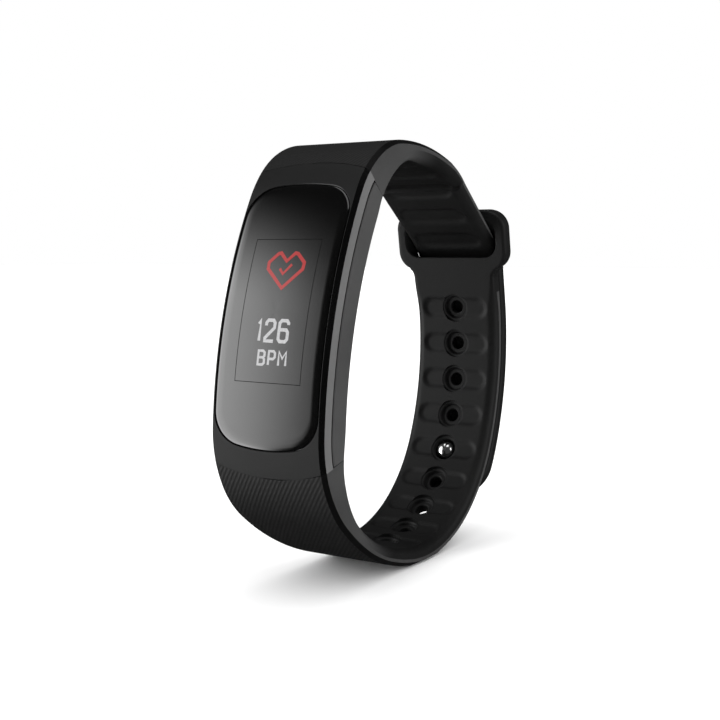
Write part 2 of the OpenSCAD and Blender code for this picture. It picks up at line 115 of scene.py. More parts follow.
# The wrist side: the housing's flat back, the straps, and a fillet from each strap to the housing.
INNER_R = R[SCREEN_LOW] - HOUSING_T
LOW_R, TOP_R = 12, 14
LOW_C = meet(C[SCREEN_LOW], INNER_R - LOW_R, C[FRONT], R[FRONT] - STRAP_T - LOW_R, 1)
TOP_C = meet(C[SCREEN_LOW], INNER_R - TOP_R, C[TOP_RUN], R[TOP_RUN] - STRAP_T - TOP_R, -1)
LOW_H = (heading_of(LOW_C - C[SCREEN_LOW]), heading_of(LOW_C - C[FRONT]))
TOP_H = (heading_of(TOP_C - C[TOP_RUN]), heading_of(TOP_C - C[SCREEN_LOW]) + 360)
WRIST = [(C[SCREEN_LOW], INNER_R, TOP_H[1] - 360, LOW_H[0]), (LOW_C, LOW_R, *LOW_H),
         (C[FRONT], R[FRONT] - STRAP_T, LOW_H[1], TURN[UNDER]),
         (C[TOP_RUN], R[TOP_RUN] - STRAP_T, TURN[TOP_RUN], TOP_H[0]), (TOP_C, TOP_R, *TOP_H)]


def ring(s):
    """The point on the outer face at a distance s from the screen's middle, and the heading there."""
    s = s % TOTAL
    i = max(k for k in range(N_ARCS) if STARTS[k] <= s)
    h = TURN[i] + math.degrees((s - STARTS[i]) / R[i])
    return C[i] + R[i] * out(h), h


def wall(p, h):
    """How deep the band is at a point of its outer face, by the space left for the wrist."""
    n = out(h)
    least, slack = 0.5, 0.5
    hits = []
    for c, r, h0, h1 in WRIST:
        v = p - c
        b, q = v @ n, v @ v - r * r
        if b * b < q:
            continue
        t = b - math.sqrt(b * b - q)
        a = heading_of(p - t * n - c)
        if t > least and any(h0 - slack <= a + turn <= h1 + slack for turn in (-360, 0, 360)):
            hits.append(t)
    return min(hits) if hits else STRAP_T


def smooth(a, b, x):
    """0 up to a, 1 from b on, and a smooth step between."""
    t = min(1.0, max(0.0, (x - a) / (b - a)))
    return t * t * (3 - 2 * t)


def seam_back(x):
    """How far the curved seam falls back towards the screen at a distance x from the band's middle."""
    widest = 11
    return SEAM_R - math.sqrt(SEAM_R ** 2 - min(abs(x), widest) ** 2)


# ---- Mesh helpers ----

SHARP = 32
UV_SPAN = 200.0


def add_mesh(name, verts, faces, materials, face_mats=None, uvs=None):
    """A mesh object from millimetre points, smooth but for its sharp edges."""
    me = bpy.data.meshes.new(name)
    me.from_pydata([tuple(c * MM for c in v) for v in verts], [], faces)
    for m in materials:
        me.materials.append(m)
    if face_mats is not None:
        me.polygons.foreach_set("material_index", face_mats)
    if uvs is not None:
        layer = me.uv_layers.new(name="surface")
        for loop in me.loops:
            layer.data[loop.index].uv = uvs[loop.vertex_index]
    me.update()
    ob = bpy.data.objects.new(name, me)
    bpy.context.scene.collection.objects.link(ob)
    bm = bmesh.new()
    bm.from_mesh(me)
    bmesh.ops.recalc_face_normals(bm, faces=bm.faces)
    bm.to_mesh(me)
    bm.free()
    shade(ob)
    return ob


def shade(ob):
    """Smooth faces, with each edge that turns by more than SHARP degrees left sharp."""
    me = ob.data
    for p in me.polygons:
        p.use_smooth = True
    bm = bmesh.new()
    bm.from_mesh(me)
    for e in bm.edges:
        e.smooth = not (len(e.link_faces) == 2 and e.calc_face_angle(0) > math.radians(SHARP))
    bm.to_mesh(me)
    bm.free()


def combine(ob, operation, tools):
    """Adds each tool to a piece, or takes it away, and removes the tools."""
    for i, tool in enumerate(tools):
        mod = ob.modifiers.new("tool%d" % i, "BOOLEAN")
        mod.operation, mod.solver, mod.object = operation, "EXACT", tool
    dg = bpy.context.evaluated_depsgraph_get()
    me = bpy.data.meshes.new_from_object(ob.evaluated_get(dg), depsgraph=dg)
    ob.modifiers.clear()
    ob.data = me
    for tool in tools:
        bpy.data.objects.remove(tool)
    shade(ob)


def side_point(p, h, d, x):
    """The point a depth d under a point p of the side view, where the heading is h, at a place x across."""
    q = p - d * out(h)
    return (x, q[0], q[1])


def face_point(s, x, d):
    """The point a depth d under the outer face, at a distance s round it and a place x across."""
    p, h = ring(s)
    return side_point(p, h, d, x)


def screen_point(x, d, z):
    """A point in the flat frame at the screen's middle: x down the screen, d into the wrist, z across."""
    p, h = ring(0)
    q = p + x * along(h) - d * out(h)
    return (z, q[0], q[1])


def flat(rows):
    return [v for row in rows for v in row]


def loft(rows):
    """The faces that join each closed row of points to the next."""
    m = len(rows[0])
    return [(i * m + j, i * m + (j + 1) % m, (i + 1) * m + (j + 1) % m, (i + 1) * m + j)
            for i in range(len(rows) - 1) for j in range(m)]


def capped(rows):
    """The points and faces of a solid through closed rows of points."""
    m = len(rows[0])
    last = (len(rows) - 1) * m
    return flat(rows), loft(rows) + [tuple(range(m)), tuple(last + j for j in range(m))]


def lathe(profile, n):
    """A solid of revolution with n sides, from the (radius, height) points of its side."""
    turns = [2 * math.pi * k / n for k in range(n)]
    return capped([[(r * math.cos(a), r * math.sin(a), z) for a in turns] for r, z in profile])


def placed(verts, p, h, x=0.0):
    """Lathe points set into the face: local z runs into the wrist from side-view point p."""
    result = []
    for u, v, w in verts:
        q = p + u * along(h) - w * out(h)
        result.append((x + v, q[0], q[1]))
    return result


def screen_lathe(profile, x, z, n=48):
    """A lathe in the screen's flat frame, its axis running into the wrist."""
    verts, faces = lathe(profile, n)
    return [screen_point(x + u, w, z + v) for u, v, w in verts], faces


def screen_block(x, half_l, half_w, levels):
    """A block in the screen's flat frame, from (depth, inset) levels."""
    corners = ((1, 1), (-1, 1), (-1, -1), (1, -1))
    return capped([[screen_point(x + sx * (half_l - inset), d, sz * (half_w - inset)) for sx, sz in corners]
                   for d, inset in levels])


def screen_plate(half_l, half_w, corner, levels):
    """A plate with rounded corners in the screen's flat frame, from (depth, inset) levels."""
    rows = []
    for d, inset in levels:
        row = []
        r = max(corner - inset, 0.05)
        for sx, sz, a0 in [(1, 1, 0), (-1, 1, 90), (-1, -1, 180), (1, -1, 270)]:
            for a in np.radians(np.linspace(a0, a0 + 90, 8)):
                row.append(screen_point(sx * (half_l - corner) + r * math.cos(a), d,
                                        sz * (half_w - corner) + r * math.sin(a)))
        rows.append(row)
    return capped(rows)


# ---- Materials ----

def new_material(name):
    m = bpy.data.materials.new(name)
    m.use_nodes = True
    return m, m.node_tree, m.node_tree.nodes["Principled BSDF"]


def noise(nt, scale, detail=3.0, rough=0.55):
    coord = nt.nodes.new("ShaderNodeTexCoord")
    tex = nt.nodes.new("ShaderNodeTexNoise")
    tex.inputs["Scale"].default_value = scale
    tex.inputs["Detail"].default_value = detail
    tex.inputs["Roughness"].default_value = rough
    nt.links.new(coord.outputs["Object"], tex.inputs["Vector"])
    return tex.outputs["Fac"]


def ramp(nt, source, stops):
    """Colours or grey values from a source, by (place, value) stops."""
    r = nt.nodes.new("ShaderNodeValToRGB")
    nt.links.new(source, r.inputs["Fac"])
    while len(r.color_ramp.elements) < len(stops):
        r.color_ramp.elements.new(0.5)
    for e, (pos, value) in zip(r.color_ramp.elements, stops):
        e.position = pos
        e.color = (*value, 1) if isinstance(value, tuple) else (value, value, value, 1)
    return r.outputs["Color"]


def math_node(nt, op, a, b=None, c=None):
    node = nt.nodes.new("ShaderNodeMath")
    node.operation = op
    for i, v in enumerate((a, b, c)):
        if v is None:
            continue
        if isinstance(v, (int, float)):
            node.inputs[i].default_value = v
        else:
            nt.links.new(v, node.inputs[i])
    return node.outputs[0]


def fade(nt, source, start, end):
    """0 where the source is at the start, 1 at the end, and a smooth step between."""
    node = nt.nodes.new("ShaderNodeMapRange")
    node.interpolation_type = "SMOOTHSTEP"
    nt.links.new(source, node.inputs["Value"])
    node.inputs["From Min"].default_value = start
    node.inputs["From Max"].default_value = end
    return node.outputs["Result"]


def split_vector(nt, source):
    split = nt.nodes.new("ShaderNodeSeparateXYZ")
    nt.links.new(source, split.inputs[0])
    return split.outputs


def strap_place(nt, axis):
    """How far a point is along a strap, by axis X, or across it, by axis Y."""
    uv = nt.nodes.new("ShaderNodeUVMap")
    uv.uv_map = "surface"
    return math_node(nt, "MULTIPLY", split_vector(nt, uv.outputs["UV"])[axis], UV_SPAN)


def bump(nt, bsdf, height, distance):
    b = nt.nodes.new("ShaderNodeBump")
    b.inputs["Strength"].default_value = 1.0
    b.inputs["Distance"].default_value = distance
    nt.links.new(height, b.inputs["Height"])
    nt.links.new(b.outputs["Normal"], bsdf.inputs["Normal"])


def drift(nt, grain):
    """A broad drift with a fine grain mixed in, and the grain alone."""
    broad, fine = noise(nt, 90, 4), noise(nt, grain)
    return math_node(nt, "MULTIPLY_ADD", fine, 0.35, math_node(nt, "MULTIPLY", broad, 0.65)), fine


def moulded(name, dark, light, rough, grain, depth=0.00002, specular=0.5, metallic=0.0):
    """Moulded or worked stuff: broad colour drift, a fine grain, and a roughness that wanders."""
    m, nt, bsdf = new_material(name)
    mixed, fine = drift(nt, grain)
    nt.links.new(ramp(nt, mixed, [(0.34, dark), (0.66, light)]), bsdf.inputs["Base Color"])
    nt.links.new(ramp(nt, mixed, [(0.3, rough[0]), (0.7, rough[1])]), bsdf.inputs["Roughness"])
    bump(nt, bsdf, fine, depth)
    bsdf.inputs["Specular IOR Level"].default_value = specular
    bsdf.inputs["Metallic"].default_value = metallic
    return m


def metal(name, dark, light, rough, grain=1500, depth=0.000004):
    return moulded(name, dark, light, rough, grain, depth, metallic=1.0)


def ribbed_rubber(name):
    """Rubber moulded with fine diagonal ribs, each broken into short lengths like a twill."""
    m, nt, bsdf = new_material(name)
    pitch, stitch_length, slope, offset = 0.74, 1.9, 0.7, 0.38
    s, x = strap_place(nt, "X"), strap_place(nt, "Y")
    across = math_node(nt, "DIVIDE", math_node(nt, "MULTIPLY_ADD", s, slope, x), pitch)
    length = math_node(nt, "DIVIDE", math_node(nt, "MULTIPLY_ADD", x, -slope, s), stitch_length)
    row = math_node(nt, "FLOOR", math_node(nt, "ADD", across, 0.5))
    staggered = math_node(nt, "ADD", length, math_node(nt, "MULTIPLY", row, offset))
    rib = math_node(nt, "COSINE", math_node(nt, "MULTIPLY", across, 2 * math.pi))
    stitch = math_node(nt, "COSINE", math_node(nt, "MULTIPLY", staggered, 2 * math.pi))
    height = math_node(nt, "MULTIPLY", math_node(nt, "MULTIPLY_ADD", rib, 0.5, 0.5),
                       math_node(nt, "MULTIPLY_ADD", stitch, 0.18, 0.82))
    full = math_node(nt, "MULTIPLY_ADD", noise(nt, 3200), 0.18, height)
    # The colour follows a random tone and the ribs' height. The height part is painted shade in the grooves
    # between the ribs, with lighter crests.
    tone_and_groove_shade = math_node(nt, "MULTIPLY_ADD", noise(nt, 120), 0.25, math_node(nt, "MULTIPLY", height, 0.75))
    nt.links.new(ramp(nt, tone_and_groove_shade, [(0.1, 0.0085), (0.9, 0.0125)]), bsdf.inputs["Base Color"])
    nt.links.new(ramp(nt, tone_and_groove_shade, [(0.1, 0.62), (0.9, 0.52)]), bsdf.inputs["Roughness"])
    bump(nt, bsdf, full, 0.000028)
    bsdf.inputs["Specular IOR Level"].default_value = 0.28
    return m


# The side rubber's tone is painted light: several times lighter than the plain rubber, for the lamp on the
# straps' side faces. Its higher shine goes with it.
PLAIN_TONE, SIDE_PAINTED_LIGHT_TONE = (0.0065, 0.0105), (0.05, 0.066)
PLAIN_SHINE, SIDE_SHINE = 0.26, 0.45


def painted_light_fading_rubber(name, start, end):
    """The side's rubber with its painted light, fading to the plain rubber's look between two distances round
    the outer face.
    """
    m, nt, bsdf = new_material(name)
    gone = fade(nt, math_node(nt, "ABSOLUTE", strap_place(nt, "X")), start, end)
    mixed, fine = drift(nt, 3000)
    # near is the side's painted light, and far is the plain rubber's own tone. The mix fades the painted light
    # out.
    near, far = (ramp(nt, mixed, [(0.34, dark), (0.66, light)]) for dark, light in (SIDE_PAINTED_LIGHT_TONE, PLAIN_TONE))
    step = math_node(nt, "SUBTRACT", far, near)
    nt.links.new(math_node(nt, "MULTIPLY_ADD", step, gone, near), bsdf.inputs["Base Color"])
    nt.links.new(ramp(nt, mixed, [(0.3, 0.5), (0.7, 0.62)]), bsdf.inputs["Roughness"])
    shine = math_node(nt, "MULTIPLY_ADD", gone, PLAIN_SHINE - SIDE_SHINE, SIDE_SHINE)
    nt.links.new(shine, bsdf.inputs["Specular IOR Level"])
    bump(nt, bsdf, fine, 0.000015)
    return m


def lens_glass(name):
    """Black-backed lens: near-black body under a smooth coat, with a trace of smear."""
    m, nt, bsdf = new_material(name)
    smear, broad = noise(nt, 260, 5, 0.6), noise(nt, 40, 2)
    nt.links.new(ramp(nt, broad, [(0.3, 0.0008), (0.7, 0.0014)]), bsdf.inputs["Base Color"])
    nt.links.new(ramp(nt, smear, [(0.3, 0.07), (0.75, 0.1)]), bsdf.inputs["Roughness"])
    bsdf.inputs["IOR"].default_value = 1.52
    bsdf.inputs["Coat Weight"].default_value = 0.35
    bsdf.inputs["Coat Roughness"].default_value = 0.05
    return m


def lit(name, colour, strength):
    """A lit patch of the display, seen through the lens: fine rows under the same gloss."""
    m, nt, bsdf = new_material(name)
    dimmer = tuple(0.82 * c for c in colour)
    rows = noise(nt, 5200, 2)
    nt.links.new(ramp(nt, rows, [(0.35, dimmer), (0.65, colour)]), bsdf.inputs["Emission Color"])
    bsdf.inputs["Emission Strength"].default_value = strength
    nt.links.new(ramp(nt, rows, [(0.3, 0.002), (0.7, 0.006)]), bsdf.inputs["Base Color"])
    bsdf.inputs["Roughness"].default_value = 0.22
    return m


RIBBED = ribbed_rubber("rubber_ribbed")
RUBBER = moulded("rubber_plain", *PLAIN_TONE, (0.52, 0.64), 3000, 0.000015, PLAIN_SHINE)
# Painted light: a lighter copy of the plain rubber, for the lit side faces of the straps.
RUBBER_PAINTED_LIGHT_SIDE = moulded("rubber_painted_light_side", *SIDE_PAINTED_LIGHT_TONE, (0.48, 0.6), 3000, 0.000015, SIDE_SHINE)
# The turned wrist edges carry the side's painted light, fading out between these distances round the outer face.
LOWER_PAINTED_LIGHT_FADE = painted_light_fading_rubber("rubber_turn_painted_light_fade_lower", 40, 54)
UPPER_PAINTED_LIGHT_FADE = painted_light_fading_rubber("rubber_turn_painted_light_fade_upper", 35.6, 49.6)
# Painted shade: the straps' bevels are painted near black, a painted dark reflection on the chamfer of the same
# rubber. Their lower roughness is real.
RUBBER_PAINTED_SHADE_EDGE = moulded("rubber_painted_shade_edge", 0.002, 0.004, (0.3, 0.42), 2600, 0.000006, 0.2)
SHELL_FRONT = moulded("shell_front", 0.0065, 0.0095, (0.45, 0.55), 4200, 0.000008, 0.25)
# Painted shade: near black on the bezel's chamfer, the lens seat's wall and the walls cut into the rear shell.
SHELL_PAINTED_SHADE = moulded("shell_painted_shade", 0.0015, 0.003, (0.22, 0.3), 3800, 0.000004, 0.2)
# Painted light: the bezel's side strip is painted far lighter, for the lamp on that side.
SHELL_PAINTED_LIGHT_STRIP = moulded("shell_painted_light_strip", 0.15, 0.18, (0.42, 0.5), 4200, 0.000006, 0.5)
# Painted light: the rear shell is painted much lighter than the front shell, for the lamp on its side faces.
SHELL_REAR_PAINTED_LIGHT = moulded("shell_rear_painted_light", 0.062, 0.08, (0.45, 0.55), 3600, 0.00001, 0.5)
GLASS = lens_glass("lens_black")
SENSOR = lens_glass("sensor_black")
RED = lit("display_red", (0.52, 0.018, 0.018), 0.85)
WHITE = lit("display_grey", (0.62, 0.62, 0.63), 0.9)
LINE = moulded("display_line", 0.0006, 0.0012, (0.5, 0.6), 2600, 0.000002, 0.1)
CHROME = metal("stud_polished", 0.72, 0.82, (0.14, 0.2), 900, 0.000001)
GUNMETAL = metal("button_polished", 0.38, 0.46, (0.14, 0.2), 1400, 0.000002)


# ---- Straps ----

# The parts of a strap's section, then the material slots of a strap's mesh.
FACE, LIP, SIDE, TURNED, INNER = range(5)
# Of the slots, the edge one is painted shade, and the flank and fade ones are painted light.
RIBS, PAINTED_SHADE_EDGE, PLAIN, PAINTED_LIGHT_FLANK, PAINTED_LIGHT_FADE = range(5)
SEAM_REACH = 11


def half_width(y, wide_y, slim_y):
    """The strap narrows from the housing's width to its own between two places along Y."""
    t = min(1.0, max(0.0, (y - wide_y) / (slim_y - wide_y)))
    t = 0.35 * smooth(wide_y, slim_y, y) + 0.65 * t
    return (HOUSING_W + (STRAP_W - HOUSING_W) * t) / 2


def recess_depth(s, x, centres, half_l, r, depth):
    """The shallow round-ended recesses across the strap's wrist side."""
    near = min(centres, key=lambda c: abs(c - s))
    d = math.hypot(max(abs(x) - (half_l - r), 0), s - near) - r
    return depth * (1 - smooth(-0.55, 0.35, d))


def seam_shift(u, x):
    """How far a strap's point is moved along it to meet the curved seam, u from the seam's middle."""
    return (SEAM_GAP - seam_back(x)) * (1 - smooth(0, SEAM_REACH, u))


def section(hw, t, swell, inner):
    """The (across, depth, part) points round a strap's section. swell is how far its rounding has grown."""
    bevel = min(BEVEL, 0.45 * t)
    edge_x, edge_d = 0.35 + 1.2 * swell, min(0.35 + 1.15 * swell, 0.55 * t)
    step, lean = 0.02, 0.04 + 0.1 * swell
    high, low = bevel + 0.12, t - edge_d
    face = [(x, 0.0, FACE) for x in np.linspace(-(hw - bevel), hw - bevel, 23)]
    side = [(hw, bevel, LIP), (hw - step, high, SIDE)]
    side += [(hw - step - (lean - step) * k / 3, high + (low - high) * k / 3, SIDE) for k in (1, 2)]
    turn = [(hw - lean - edge_x * (1 - math.cos(a)), low + edge_d * math.sin(a), TURNED)
            for a in np.linspace(0, math.pi / 2, 9)]
    flat_x = hw - lean - edge_x
    floor = [(x, t - inner(x), INNER) for x in np.linspace(flat_x, -flat_x, 57)[1:-1]]
    back = [(-x, d, part) for x, d, part in reversed(side + turn)]
    return face + side + turn + floor + back


def band(name, stations, turn_painted_light_material, *, s_of, point, hw_of, t_of, swell_of, inner_of, shift_of,
         plain_from, side_to):
    """A strap through its stations along it: each is a closed section, and both ends are capped.

    point gives the outer face's point and heading at a station, and s_of its distance round the loop.
    hw_of, t_of, swell_of and inner_of give its section, and shift_of how far along a point across it is moved.
    The face is ribbed up to plain_from, and the side carries painted light, as a lighter rubber, up to side_to.
    """
    rows, uvs, mats = [], [], []
    for u in stations:
        loop = section(hw_of(u), t_of(u), swell_of(u), lambda x: inner_of(u, x))
        row = []
        for x, d, _ in loop:
            v = u + shift_of(u, x)
            p, h = point(v)
            at = side_point(p, h, d, x)
            row.append((at[0], at[1], max(at[2], 0.0)))
            uvs.append((s_of(v) / UV_SPAN, x / UV_SPAN))
        rows.append(row)
    parts = [part for _, _, part in loop]
    for u in stations[:-1]:
        for pair in zip(parts, parts[1:] + parts[:1]):
            if pair == (FACE, FACE):
                mats.append(RIBS if u < plain_from else PLAIN)
            elif FACE in pair:
                mats.append(PAINTED_SHADE_EDGE)
            elif TURNED in pair:
                mats.append(PAINTED_LIGHT_FADE)
            elif SIDE in pair:
                mats.append(PAINTED_LIGHT_FLANK if u < side_to else PLAIN)
            else:
                mats.append(PLAIN)
    verts, faces = capped(rows)
    materials = [RIBBED, RUBBER_PAINTED_SHADE_EDGE, RUBBER, RUBBER_PAINTED_LIGHT_SIDE, turn_painted_light_material]
    return add_mesh(name, verts, faces, materials, mats + [PLAIN, PLAIN], uvs)


# The lower strap follows the ring up the back, then runs straight on into its loop.
HOLE_PITCH, STUD_HOLE = 7.09, 4
HOLES = [64.8 + HOLE_PITCH * k for k in range(9)]
STUD_S = HOLES[STUD_HOLE]
LOOP_H = 100
LOOP_S = STARTS[BACK] + R[BACK] * math.radians(LOOP_H - TURN[BACK])
LOOP_P = C[BACK] + R[BACK] * out(LOOP_H)
LOOP_LOW, LOOP_TOP, LOOP_W, LOOP_CORNER = 6.5, 17.2, 11.1, 3.3
NECK = 1.6
LOWER_THIN_S = 40


def lower_point(s):
    if s <= LOOP_S:
        return ring(s)
    return LOOP_P + (s - LOOP_S) * along(LOOP_H), LOOP_H


def lower_half_width(s):
    """The strap's taper, then a flare over the neck, then the loop with its rounded corners."""
    base = half_width(lower_point(s)[0][0], -29, -8.8)
    x = s - LOOP_S
    if x < LOOP_LOW - NECK:
        return base
    if x < LOOP_LOW:
        f = 1 - (LOOP_LOW - x) / NECK
        return base + 0.9 * (1 - math.sqrt(1 - f * f * 0.98))
    low, top = LOOP_LOW + LOOP_CORNER, LOOP_TOP - LOOP_CORNER
    past = max(low - x, min(x, LOOP_TOP) - top, 0.0)
    hw = LOOP_W - LOOP_CORNER + math.sqrt(max(0.0, LOOP_CORNER ** 2 - past ** 2))
    return max(base + 0.75, hw) if x < low else hw


def lower_thickness(s):
    return wall(*lower_point(s)) if s < LOWER_THIN_S else STRAP_T


def lower_swell(s):
    return smooth(SEAM_S + 5, SEAM_S + 26, s) * (1 - 0.75 * smooth(LOOP_S - 2, LOOP_S + 5, s))


def lower_stations():
    """Evenly spaced up to the loop, then closer where its outline turns."""
    stations = []
    for start, end, step in [(SEAM_S, 40, 0.45), (40, 60, 0.4), (60, LOOP_S + 3, 0.3)]:
        stations += list(np.arange(start, end, step))
    turn = np.linspace(0, math.pi / 2, 16)
    curve = [LOOP_LOW - NECK * math.cos(a) for a in np.linspace(0, math.pi / 2, 8)[:-1]]
    curve += [LOOP_LOW + LOOP_CORNER * (1 - math.cos(a)) for a in turn]
    curve += list(np.linspace(LOOP_LOW + LOOP_CORNER, LOOP_TOP - LOOP_CORNER, 10)[1:-1])
    curve += [LOOP_TOP - LOOP_CORNER * (1 - math.sin(a)) for a in turn]
    return stations + [LOOP_S + x for x in curve]


def hole_tools():
    """A stepped hole through the strap at each place, wide open at the one that the stud fills."""
    mouth = [(2.0, STRAP_T - 0.75), (2.06, STRAP_T - 0.62), (2.22, STRAP_T - 0.48), (2.6, STRAP_T - 0.44),
             (2.6, STRAP_T + 1)]
    throat = [(1.3, -1), (1.3, -0.1), (1.15, 0.2), (1.15, 1.5), (1.2, 1.62), (1.32, 1.7), (1.85, 1.7),
              (1.98, 1.85)]
    tools = []
    for k, s in enumerate(HOLES):
        p, h = ring(s)
        verts, faces = lathe(([(2.0, -1)] if k == STUD_HOLE else throat) + mouth, 40)
        tools.append(add_mesh("hole", placed(verts, p, h), faces, [RUBBER]))
    return tools


def slot_tool():
    """The slot through the end loop, slanted the way the upper strap dives, with rounded lips."""
    low, high, half, corner = 9.0, 15.4, 9.1, 2.4
    low_slant, high_slant, side_slant = 1 / math.tan(math.radians(55)), 1 / math.tan(math.radians(42)), 0.2
    levels = [(-1.0, 0.0), (-0.3, 0.0), (0.0, -0.1), (0.12, -0.22), (0.32, -0.3), (STRAP_T - 0.32, 0.0),
              (STRAP_T - 0.12, 0.14), (STRAP_T, 0.32), (STRAP_T + 0.3, 0.5), (STRAP_T + 1.0, 0.6)]
    rows = []
    for d, grow in levels:
        rise = min(max(d, 0), STRAP_T) - STRAP_T
        top = high - corner + rise * high_slant
        base = low + corner + rise * low_slant
        side = half - corner + rise * side_slant
        row = []
        for cx, cy, a0 in [(top, side, 0), (base, side, 90), (base, -side, 180), (top, -side, 270)]:
            for a in np.radians(np.linspace(a0, a0 + 90, 9)):
                x = cx + (corner + grow) * math.cos(a)
                y = cy + (corner + grow) * math.sin(a)
                row.append(side_point(LOOP_P + x * along(LOOP_H), LOOP_H, d, y))
        rows.append(row)
    verts, faces = capped(rows)
    return add_mesh("slot", verts, faces, [RUBBER])


def lower_band():
    ob = band(
        "lower_strap", lower_stations(), LOWER_PAINTED_LIGHT_FADE,
        s_of=lambda s: s, point=lower_point,
        hw_of=lower_half_width, t_of=lower_thickness, swell_of=lower_swell,
        inner_of=lambda s, x: recess_depth(s, x, HOLES, 6.4, 1.85, 0.34),
        shift_of=lambda s, x: seam_shift(s - SEAM_S, x),
        plain_from=LOOP_S + 1, side_to=LOOP_S + 2)
    combine(ob, "DIFFERENCE", hole_tools() + [slot_tool()])
    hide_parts("holed_strap")
    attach(ob, "tracker")


# The upper strap runs back from the housing, dives out through the loop and lies along the outside.
LEAD_H = 8
TOP_SEAM_H = TURN[SCREEN_TOP] - math.degrees((SEAM_S - (TOTAL - STARTS[SCREEN_TOP])) / R[TOP_CORNER])
LEAVE_H, LEAVE_R, BEND_R, DIVE_H = 164, 14, 6, 142
LEAVE_C = C[TOP_RUN] + (R[TOP_RUN] - LEAVE_R) * out(LEAVE_H)
TAIL_R = R[BACK] + CLEAR + TAIL_T
TAIL_TOP = C[BACK] + TAIL_R * out(LOOP_H)
TO_DIVE = LEAVE_C + LEAVE_R * out(DIVE_H) - TAIL_TOP - BEND_R * (out(DIVE_H) - out(LOOP_H))
RISE = cross(TO_DIVE, along(DIVE_H)) / cross(along(LOOP_H), along(DIVE_H))
DIVE = cross(along(LOOP_H), TO_DIVE) / cross(along(LOOP_H), along(DIVE_H))
BEND_C = TAIL_TOP + RISE * along(LOOP_H) - BEND_R * out(LOOP_H)
TIP_H = ring(84.8)[1]
TIP_CORNER, TIP_ROUND = 7.6, 0.7
UPPER_THIN_U = 35


def arc_run(c, r, h0, h1):
    return r * math.radians(h0 - h1), c, r, h0


def line_run(length, start, h):
    return length, start, 0, h


# (length, centre or start, radius or 0, heading at the start), from a little before the seam to the tip.
RUNS = [arc_run(C[TOP_CORNER], R[TOP_CORNER], TOP_SEAM_H + LEAD_H, TURN[TOP_CORNER]),
        arc_run(C[TOP_RUN], R[TOP_RUN], TURN[TOP_CORNER], LEAVE_H),
        arc_run(LEAVE_C, LEAVE_R, LEAVE_H, DIVE_H),
        line_run(DIVE, LEAVE_C + LEAVE_R * out(DIVE_H), DIVE_H),
        arc_run(BEND_C, BEND_R, DIVE_H, LOOP_H),
        line_run(RISE, BEND_C + BEND_R * out(LOOP_H), LOOP_H),
        arc_run(C[BACK], TAIL_R, LOOP_H, TURN[BACK]),
        arc_run(C[UNDER], R[UNDER] + CLEAR + TAIL_T, TURN[BACK], TIP_H)]
UPPER_START = -R[TOP_CORNER] * math.radians(LEAD_H)
DIVE_U, BEND_U, UPPER_END = (UPPER_START + sum(run[0] for run in RUNS[:n]) for n in (3, 4, 8))


def upper_point(u):
    """The outer face's point and heading at a distance u along the upper strap from its seam."""
    rest = u - UPPER_START
    for n, (length, c, r, h0) in enumerate(RUNS):
        if rest <= length or n == len(RUNS) - 1:
            break
        rest -= length
    if r == 0:
        return c - rest * along(h0), h0
    h = h0 - math.degrees(rest / r)
    return c + r * out(h), h


def upper_thickness(u):
    if u <= UPPER_THIN_U:
        return wall(*upper_point(u))
    t = STRAP_T + (TAIL_T - STRAP_T) * smooth(DIVE_U, BEND_U, u)
    left = UPPER_END - u
    if left < TIP_ROUND:
        return max(0.9, t * math.sqrt(max(0.0, 1 - (1 - left / TIP_ROUND) ** 2)))
    return t


def upper_half_width(u):
    if u < BEND_U:
        return half_width(upper_point(u)[0][0], -16, 15)
    left = UPPER_END - u
    if left < TIP_CORNER:
        return STRAP_W / 2 - TIP_CORNER + math.sqrt(max(0.01, TIP_CORNER ** 2 - (TIP_CORNER - left) ** 2))
    return STRAP_W / 2


def upper_band():
    stations = []
    for start, end, step in [(0, 14, 0.45), (14, DIVE_U + 6, 0.3), (DIVE_U + 6, UPPER_END - TIP_CORNER, 0.5)]:
        stations += list(np.arange(start, end, step))
    stations += [UPPER_END - TIP_CORNER * (1 - math.sin(a)) for a in np.linspace(0, math.pi / 2, 18)]
    recesses = [13.2 + HOLE_PITCH * k for k in range(6)]

    def inner(u, x):
        return 0.0 if u > recesses[-1] + 3 else recess_depth(u, x, recesses, 6.5, 1.95, 0.3)

    ob = band(
        "upper_strap_and_tail", stations, UPPER_PAINTED_LIGHT_FADE,
        s_of=lambda u: -SEAM_S - u, point=upper_point,
        hw_of=upper_half_width, t_of=upper_thickness,
        swell_of=lambda u: smooth(3, 22, u) * (1 - 0.7 * smooth(BEND_U - 4, BEND_U + 2, u)),
        inner_of=inner, shift_of=seam_shift,
        plain_from=math.inf, side_to=BEND_U - 3)
    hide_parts("upper_strap", "strap_tail")
    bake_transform(ob)


# ---- Housing ----

LENS_L, LENS_W, ARCH_R, CORNER_R = 20.2, 9.15, 30.0, 5.0
RIM_END_X = 5.4


